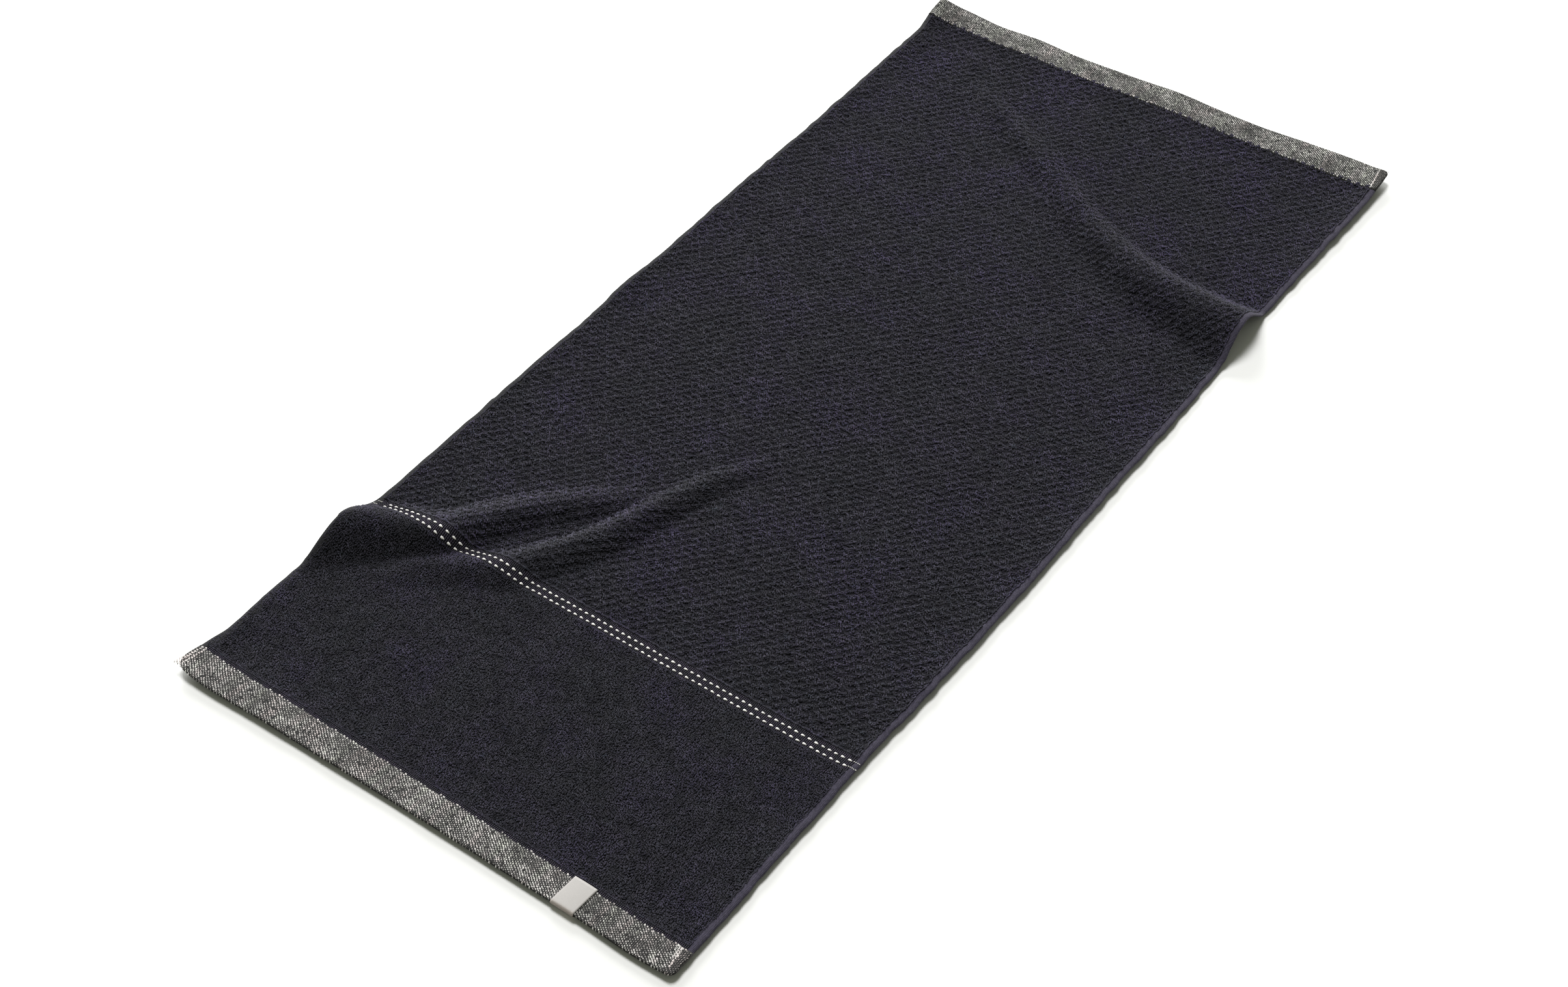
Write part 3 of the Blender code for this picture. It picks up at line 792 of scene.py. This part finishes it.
def drops(name, u, v, length, width, rise, root, turn):
    """One joined piece of low drops: rings of points from the rim to the top, blunt at the left end."""
    steps = 12
    around = np.arange(steps) * 2 * math.pi / steps
    along = -np.cos(around)
    blunt = 1.0 - 0.6 * along
    side = np.sin(around) * blunt / 1.2
    rings = [(1.0, -0.25), (0.92, 0.35), (0.6, 0.85)]
    part_u = np.concatenate([along * size for size, _ in rings] + [[-0.12]])
    part_v = np.concatenate([side * size for size, _ in rings] + [[0.0]])
    part_h = np.concatenate([np.full(steps, high) for _, high in rings] + [[1.0]])
    grown_u = part_u * (length / 2)[:, None]
    grown_v = part_v * (width / 2)[:, None]
    all_u = u[:, None] + grown_u * np.cos(turn)[:, None] - grown_v * np.sin(turn)[:, None]
    all_v = v[:, None] + grown_u * np.sin(turn)[:, None] + grown_v * np.cos(turn)[:, None]
    height = root(all_u, all_v) + part_h * rise[:, None]
    pattern = []
    for ring in range(len(rings) - 1):
        for step in range(steps):
            after = (step + 1) % steps
            here, there = ring * steps + step, ring * steps + after
            pattern += [(here, there + steps, there), (here, here + steps, there + steps)]
    last = (len(rings) - 1) * steps
    pattern += [(last + step, last + steps, last + (step + 1) % steps) for step in range(steps)]
    faces = (np.arange(len(u))[:, None, None] * (last + steps + 1) + np.array(pattern)).reshape(-1, 3)
    maps = cloth_maps(all_u.ravel(), all_v.ravel())
    return mesh_piece(name, laid(all_u.ravel(), all_v.ravel(), height.ravel()), faces, maps)


dash_table = []
for row_start, row_v in DASH_ROWS:
    first = row_start - math.floor((row_start - DASH_FIRST) / DASH_PITCH) * DASH_PITCH
    for place in np.arange(first, DASH_LAST - DASH_LENGTH, DASH_PITCH):
        dash_table.append((place + DASH_LENGTH / 2, row_v, DASH_LENGTH, DASH_WIDTH))
    for dot in np.arange(dash_table[-1][0] + DASH_LENGTH / 2 + RIGHT_DOTS_AFTER, CLOTH_WIDTH, RIB_PITCH):
        dash_table.append((dot, row_v + 0.5, 1.25, 1.0))
    for dot in range(LEFT_DOTS):
        dash_table.append((DASH_FIRST - 2.0 - dot * RIB_PITCH, row_v, 1.2, 1.1))
dash_u, dash_v, dash_length, dash_width = np.array(dash_table).T
count = len(dash_table)
random = np.random.default_rng(31)
dashes = drops(
    "dashes",
    dash_u + random.normal(0.0, 0.1, count),
    dash_v + random.normal(0.0, 0.1, count),
    dash_length * random.uniform(0.92, 1.1, count),
    dash_width * random.uniform(0.9, 1.12, count),
    np.full(count, DASH_RISE),
    level(STRIP_HIGH + 0.1),
    random.normal(-0.04, 0.05, count),
)
undyed_cotton = new_material("undyed cotton", (0.80, 0.77, 0.74), 0.8, sheen=0.1)
undyed_places = map_places(undyed_cotton, "cloth", (0.4, 1.6))
set_colour(undyed_cotton, ramp(undyed_cotton, noise(undyed_cotton, undyed_places, 1.5, 2.0), [
    (0.25, (0.62, 0.59, 0.60)), (0.5, (0.86, 0.84, 0.81)), (0.8, (0.92, 0.91, 0.89)),
]))
set_bump(undyed_cotton, noise(undyed_cotton, undyed_places, 2.6, 2.0), 0.12)
dashes.data.materials.append(undyed_cotton)
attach(dashes, "root")


# The end hems: the flat weave turned under at both ends, its edge a soft round fold, speckled dark and
# light. The light yarn comes up in slanted dots in staggered rows on a dark ground, bolder at the near end.
END_HEM_MIDDLE = 2.3
END_HEM_RADIUS = 1.4
HEM_RIM = 6.0


def end_hem_high(u, v):
    swell = 1 + 0.07 * np.sin(u / 13.0) + 0.05 * np.sin(u / 4.7 + 2.0)
    return END_HEM_MIDDLE + END_HEM_RADIUS * rounded_edge(u, v, END_HEM_RADIUS) * swell


def end_hem_low(u, v):
    return END_HEM_MIDDLE - END_HEM_RADIUS * rounded_edge(u, v, END_HEM_RADIUS)


rim_lines = [(0.0, 0.4, 3), (0.4, 1.5, 3), (1.5, HEM_RIM, 2)]
across_hem = spaced(rim_lines + [(HEM_RIM, CLOTH_WIDTH - HEM_RIM, 190)])
across_hem = np.concatenate([across_hem[:-1], CLOTH_WIDTH - spaced(rim_lines)[::-1]])
near_along = spaced(rim_lines + [(HEM_RIM, NEAR_HEM, 7)])
far_along = CLOTH_LENGTH - spaced(rim_lines + [(HEM_RIM, CLOTH_LENGTH - FAR_HEM_START, 8)])[::-1]
near_hem = closed_sheet("near_hem", across_hem, near_along, end_hem_low, end_hem_high)
far_hem = closed_sheet("far_hem", across_hem, far_along, end_hem_low, end_hem_high)
DOT_PITCH_U = 3.2
DOT_PITCH_V = 2.2
SEAM_FROM_SIDE = 5.0
SEAM_SLANT = 0.12


def hem_dots(name, low_v, high_v, border_v, length, width, rise, seed):
    """The light yarn's dots over a hem, slanted, in rows that are offset by half a pitch."""
    random = np.random.default_rng(seed)
    columns = np.arange(1.2, CLOTH_WIDTH - 1.0, DOT_PITCH_U / 2)
    rows = np.arange(low_v, high_v, DOT_PITCH_V)
    u, v = np.meshgrid(columns, rows)
    v = v + np.where(np.arange(len(columns)) % 2, DOT_PITCH_V / 2, 0.0)
    u = u + 0.6 * drift(seed + 1, u, v, 9.0, 7.0)
    kept = (v < high_v) & (random.random(u.shape) > 0.04)
    u, v = u[kept], v[kept]
    count = len(u)
    # In slubby stretches of the yarn the dots run together into slanted strokes
    slub = drift(seed + 2, u, v, 16.0, 9.0)
    size = random.uniform(0.72, 1.18, count) + 0.16 * drift(seed + 3, u, v, 5.0, 5.0)
    stretch = 1.0 + 0.22 * slub
    turn = random.normal(0.95, 0.18, count) - 0.25 * np.clip(-slub, 0.0, 1.0)
    shade = np.clip(0.5 + 0.25 * slub + random.normal(0.0, 0.24, count), 0.0, 1.0)
    # At the right the corner is folded over a seam; beyond it the yarn is finer, duller and slants back
    beyond = u > CLOTH_WIDTH - SEAM_FROM_SIDE - SEAM_SLANT * (v - low_v)
    turn = np.where(beyond, -0.45, turn)
    size = np.where(beyond, 0.72 * size, size)
    shade = np.where(beyond, 0.5 * shade, shade)
    # A last row of uneven dots stands beside the pile
    border_u = np.arange(4.0, CLOTH_WIDTH - SEAM_FROM_SIDE - 1.0, DOT_PITCH_U)
    more_count = len(border_u)
    border = [
        border_u + random.normal(0, 0.3, more_count),
        border_v + random.normal(0, 0.45, more_count),
        random.normal(0.9, 0.4, more_count),
        random.uniform(0.6, 1.4, more_count),
        np.ones(more_count),
        random.uniform(0.35, 1.0, more_count),
    ]
    u, v, turn, size, stretch, shade = np.concatenate([[u, v, turn, size, stretch, shade], border], axis=1)
    count = len(u)
    return arches(
        name, u + random.normal(0, 0.14, count), v + random.normal(0, 0.12, count),
        turn=turn,
        length=length * size * stretch,
        width=width * np.minimum(size, 1.15),
        root=lambda at_u, at_v: end_hem_high(at_u, at_v) - 0.06,
        rise=rise * size,
        shade=shade,
    )


near_dots = hem_dots(
    "near_hem_dots", 0.5, NEAR_HEM - 1.0, border_v=NEAR_HEM - 0.2, length=2.15, width=1.4, rise=0.42, seed=41
)
far_dots = hem_dots(
    "far_hem_dots", FAR_HEM_START + 2.0, CLOTH_LENGTH - 0.3, border_v=FAR_HEM_START + 2.6,
    length=2.25, width=1.3, rise=0.42, seed=43,
)


def speckled(name, dark, middle, light):
    """The hems' dark ground: columns 10 to 20 mm wide, some lighter, with small grey threads."""
    material = new_material(name, middle, 0.85, sheen=0.05)
    shades = ramp(material, noise(material, map_places(material, "cloth", (0.075, 0.006)), 1.0, 3.0), [
        (0.3, dark), (0.5, middle), (0.7, light),
    ])
    cloth = map_places(material, "cloth")
    specks = multiplied(
        material, waves(material, cloth, "X", RIB_PITCH), waves(material, cloth, "Y", HEM_THREAD_PITCH)
    )
    fine = ramp(material, specks, [
        (0.0, (0.25, 0.25, 0.25)), (0.35, (0.8, 0.8, 0.8)), (1.0, (4.5, 4.4, 4.2)),
    ])
    set_bump(material, specks, 0.15)
    set_colour(material, tinted(material, shades, fine))
    return material


def light_yarn(name, dark, middle, light):
    """The hems' light yarn: some dots whiter than others, in stretches that run pinker or greener."""
    material = new_material(name, middle, 0.8, sheen=0.05)
    yarn_shade = apart(material, map_places(material, "yarn"))[0]
    shades = ramp(material, yarn_shade, [(0.0, dark), (0.5, middle), (1.0, light)])
    tints = ramp(material, noise(material, map_places(material, "cloth", (0.11, 0.02)), 1.0, 2.0), [
        (0.35, (1.06, 0.97, 0.97)), (0.5, (1.0, 1.0, 1.0)), (0.65, (0.96, 1.0, 0.93)),
    ])
    grain = noise(material, map_places(material, "cloth"), 0.9, 3.0)
    fine = ramp(material, grain, [(0.3, (0.75, 0.75, 0.75)), (0.7, (1.15, 1.15, 1.15))])
    set_colour(material, tinted(material, shades, tints, fine))
    set_bump(material, grain, 0.15)
    return material


near_hem.data.materials.append(speckled(
    "near hem dark yarn", (0.014, 0.014, 0.015), (0.026, 0.025, 0.026), (0.050, 0.048, 0.048)
))
near_dots.data.materials.append(light_yarn(
    "near hem light yarn", (0.17, 0.164, 0.161), (0.46, 0.444, 0.432), (0.80, 0.773, 0.755)
))
far_hem.data.materials.append(speckled(
    "far hem dark yarn", (0.010, 0.010, 0.010), (0.019, 0.019, 0.018), (0.038, 0.037, 0.036)
))
far_dots.data.materials.append(light_yarn(
    "far hem light yarn", (0.11, 0.106, 0.102), (0.40, 0.387, 0.375), (0.80, 0.772, 0.75)
))
for piece in (near_hem, far_hem, near_dots, far_dots):
    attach(piece, "root")


# The stitching at the corners: thick light thread that closes the folded ends of the hems. Short strokes
# cross the seam at both right corners, and two columns of rounder ones stand at the near left corner.
STITCH_PITCH = 1.15
COLUMN_PITCH = 2.1
# Where each column of strokes at the near right corner starts
COLUMN_STARTS = (6.0, 14.0, 19.5)
LEFT_COLUMNS = (3.4, 6.4)
# A row for each stitch: (across, along, turn, length, width)
stitch_table = []
for place in np.arange(COLUMN_STARTS[0], NEAR_HEM - 0.4, STITCH_PITCH):
    seam_u = CLOTH_WIDTH - SEAM_FROM_SIDE - SEAM_SLANT * place
    for column, start in enumerate(COLUMN_STARTS):
        if place >= start:
            stitch_table.append((seam_u - 1.1 - COLUMN_PITCH * column, place + 0.3 * column, 1.35, 2.3, 1.0))
for place in np.arange(FAR_HEM_START + 3.0, CLOTH_LENGTH - 1.0, STITCH_PITCH):
    seam_u = CLOTH_WIDTH - SEAM_FROM_SIDE - SEAM_SLANT * (place - FAR_HEM_START)
    stitch_table.append((seam_u - 0.8, place, 1.2, 2.0, 0.9))
for column_u in LEFT_COLUMNS:
    for place in np.arange(2.6, NEAR_HEM - 0.4, 2 * STITCH_PITCH):
        stitch_table.append((column_u, place + 0.35 * column_u, 1.0, 2.0, 1.8))
stitch_u, stitch_v, stitch_turn, stitch_length, stitch_width = np.array(stitch_table).T
count = len(stitch_table)
random = np.random.default_rng(51)
hem_stitches = arches(
    "hem_stitches",
    stitch_u + random.normal(0.0, 0.18, count),
    stitch_v + random.normal(0.0, 0.12, count),
    turn=stitch_turn + random.normal(0.0, 0.18, count),
    length=stitch_length * random.uniform(0.8, 1.15, count),
    width=stitch_width * random.uniform(0.85, 1.15, count),
    root=lambda at_u, at_v: end_hem_high(at_u, at_v) - 0.02,
    rise=random.uniform(0.4, 0.6, count),
    shade=random.uniform(0.45, 1.0, count),
)
hem_stitches.data.materials.append(light_yarn(
    "sewing thread", (0.35, 0.34, 0.33), (0.70, 0.68, 0.66), (0.92, 0.90, 0.88)
))
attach(hem_stitches, "root")


# The tab: a stiff pale tape, 21 mm wide, folded round the edge of the near hem and sewn through it.
# It is a smooth, bare satin weave with a closed edge along each side.
TAB_CENTRE = 398.7
TAB_WIDTH = 21.4
TAB_TOP = 27.2
TAB_UNDER = 20.0
TAB_THICK = 0.5
TAB_HIGH = END_HEM_MIDDLE + END_HEM_RADIUS + 0.45
TAB_LOW = 0.75
TAB_FRONT = 1.4
TAB_TURN_STEPS = 12
TAB_SLANT = 0.035
TAB_BOW = 0.35
# How the tape's face and back lie in the square map for baking
BAKED_SPAN = 70.0
BAKED_FACE = (0.2, 0.02)
BAKED_BACK = (0.6, 0.02)
tab_path = [(place, TAB_HIGH) for place in np.linspace(TAB_TOP, TAB_FRONT, 14)]
turn_radius = (TAB_HIGH - TAB_LOW) / 2
for step in range(1, TAB_TURN_STEPS):
    turn = math.pi * step / TAB_TURN_STEPS
    tab_path.append((TAB_FRONT - turn_radius * math.sin(turn), TAB_LOW + turn_radius * (1 + math.cos(turn))))
tab_path += [(place, TAB_LOW) for place in np.linspace(TAB_FRONT, TAB_UNDER, 6)]
tab_path = np.array(tab_path)
path_way = np.gradient(tab_path, axis=0)
path_way /= np.linalg.norm(path_way, axis=1, keepdims=True)
outward = np.column_stack([path_way[:, 1], -path_way[:, 0]])
path_run = np.concatenate([[0.0], np.cumsum(np.linalg.norm(np.diff(tab_path, axis=0), axis=1))])
across_tab = spaced([(-0.5, -0.44, 1), (-0.44, 0.44, 10), (0.44, 0.5, 1)]) * TAB_WIDTH
tab_rows, tab_columns = len(tab_path), len(across_tab)
bow = TAB_BOW * (1 - (across_tab / (TAB_WIDTH / 2)) ** 2)
tab_points = []
for offset in (TAB_THICK, 0.0):
    side_v = tab_path[:, 0] + outward[:, 0] * offset
    side_h = tab_path[:, 1] + outward[:, 1] * offset
    on_u = TAB_CENTRE + across_tab + TAB_SLANT * (side_v[:, None] - TAB_TOP)
    on_v = np.tile(side_v[:, None], (1, tab_columns))
    on_h = side_h[:, None] + bow * np.clip(outward[:, 1], 0, 1)[:, None]
    tab_points.append(laid(on_u, on_v, on_h).reshape(-1, 3))
run_map = np.column_stack([np.tile(across_tab, tab_rows), np.repeat(path_run, tab_columns)])
tab_maps = {
    "cloth": np.tile(run_map, (2, 1)),
    "OFBake": np.concatenate([run_map / BAKED_SPAN + BAKED_FACE, run_map / BAKED_SPAN + BAKED_BACK]),
}
# The path runs from the top to the underside, so the faces are turned the other way round
tab_faces = closed_faces(tab_rows, tab_columns)[:, ::-1]
tab = mesh_piece("tab_tape", np.concatenate(tab_points), tab_faces, tab_maps)
tape = new_material("pale satin tape", (0.455, 0.434, 0.421), 0.5, sheen=0.05)
tape_places = map_places(tape, "cloth", (0.3, 3.0))
tape_face = ramp(tape, noise(tape, tape_places, 1.2, 3.0), [
    (0.3, (0.433, 0.413, 0.400)), (0.5, (0.455, 0.434, 0.421)), (0.7, (0.477, 0.455, 0.442)),
])
# Round the fold the tape is creased and beige, and painted darker as shade, darkest in a line where its two
# layers part
tape_run = apart(tape, map_places(tape, "cloth", (1.0, 1.0 / path_run[-1])))[1]
fold_start = (TAB_TOP - TAB_FRONT) / path_run[-1]
fold_depth = math.pi * turn_radius / path_run[-1]
fold_tint_and_shade = ramp(tape, tape_run, [
    (fold_start - 0.02, (1.0, 1.0, 1.0)),
    (fold_start + 0.15 * fold_depth, (0.95, 0.90, 0.86)),
    (fold_start + 0.38 * fold_depth, (0.80, 0.72, 0.66)),
    (fold_start + 0.50 * fold_depth, (0.42, 0.37, 0.33)),
    (fold_start + 0.62 * fold_depth, (0.78, 0.71, 0.65)),
    (fold_start + fold_depth, (0.8, 0.76, 0.72)),
])
set_colour(tape, tinted(tape, tape_face, fold_tint_and_shade))
set_bump(tape, noise(tape, tape_places, 2.4, 2.0), 0.08)
tab.data.materials.append(tape)
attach(tab, "root")
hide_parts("tab")


# The floor: a plain white studio surface under the towel, with a faint mottle so that it isn't one flat
# tone. It isn't part of the object. Two large soft lamps at the back left and a faint sky light it.
FLOOR_SIZE = 14.0
bpy.ops.mesh.primitive_plane_add(size=FLOOR_SIZE, location=(0.0, 0.0, 0.0))
floor = bpy.context.active_object
floor.name = "floor"
paper = new_material("white paper", (0.95, 0.95, 0.95), 0.9)
paper_places = add_node(paper, "ShaderNodeTexCoord").outputs["Object"]
set_colour(paper, ramp(paper, noise(paper, paper_places, 3.0, 2.0), [
    (0.3, (0.94, 0.94, 0.935)), (0.7, (0.96, 0.96, 0.958)),
]))
floor.data.materials.append(paper)

SKY_STRENGTH = 0.18
sky = bpy.data.worlds.new("white studio")
sky.use_nodes = True
sky_light = sky.node_tree.nodes["Background"]
sky_light.inputs["Color"].default_value = (0.96, 1.0, 0.80, 1.0)
sky_light.inputs["Strength"].default_value = SKY_STRENGTH
bpy.context.scene.world = sky

# The main lamp hangs high over the far left, and a wider one stands low behind it and rakes over the
# folds: name, place, tilt in degrees, size, power
LAMPS = [
    ("high lamp", (-3.54, 3.54, 8.66), 30.0, 3.6, 930.0),
    ("low lamp", (-6.64, 6.64, 3.42), 70.0, 4.0, 1000.0),
]
for lamp_name, lamp_place, lamp_tilt, lamp_size, lamp_power in LAMPS:
    lamp_light = bpy.data.lights.new(lamp_name, "AREA")
    lamp_light.size = lamp_size
    lamp_light.energy = lamp_power
    lamp = bpy.data.objects.new(lamp_name, lamp_light)
    lamp.location = lamp_place
    lamp.rotation_euler = (math.radians(lamp_tilt), 0.0, math.radians(225.0))
    bpy.context.scene.collection.objects.link(lamp)


# The camera stands to the right of the near end and looks down along the towel, as in the photograph.
CAMERA_PLACE = (0.94022, -1.26792, 1.52692)
CAMERA_TURN = (43.94461, 1.61506, 36.64111)
CAMERA_LENS = 57.724
camera_data = bpy.data.cameras.new("camera")
camera_data.lens = CAMERA_LENS
camera_data.sensor_width = 36.0
camera_data.sensor_fit = "HORIZONTAL"
camera = bpy.data.objects.new("camera", camera_data)
camera.location = CAMERA_PLACE
camera.rotation_euler = [math.radians(angle) for angle in CAMERA_TURN]
bpy.context.scene.collection.objects.link(camera)
bpy.context.scene.camera = camera
bpy.context.scene.view_settings.view_transform = "Standard"
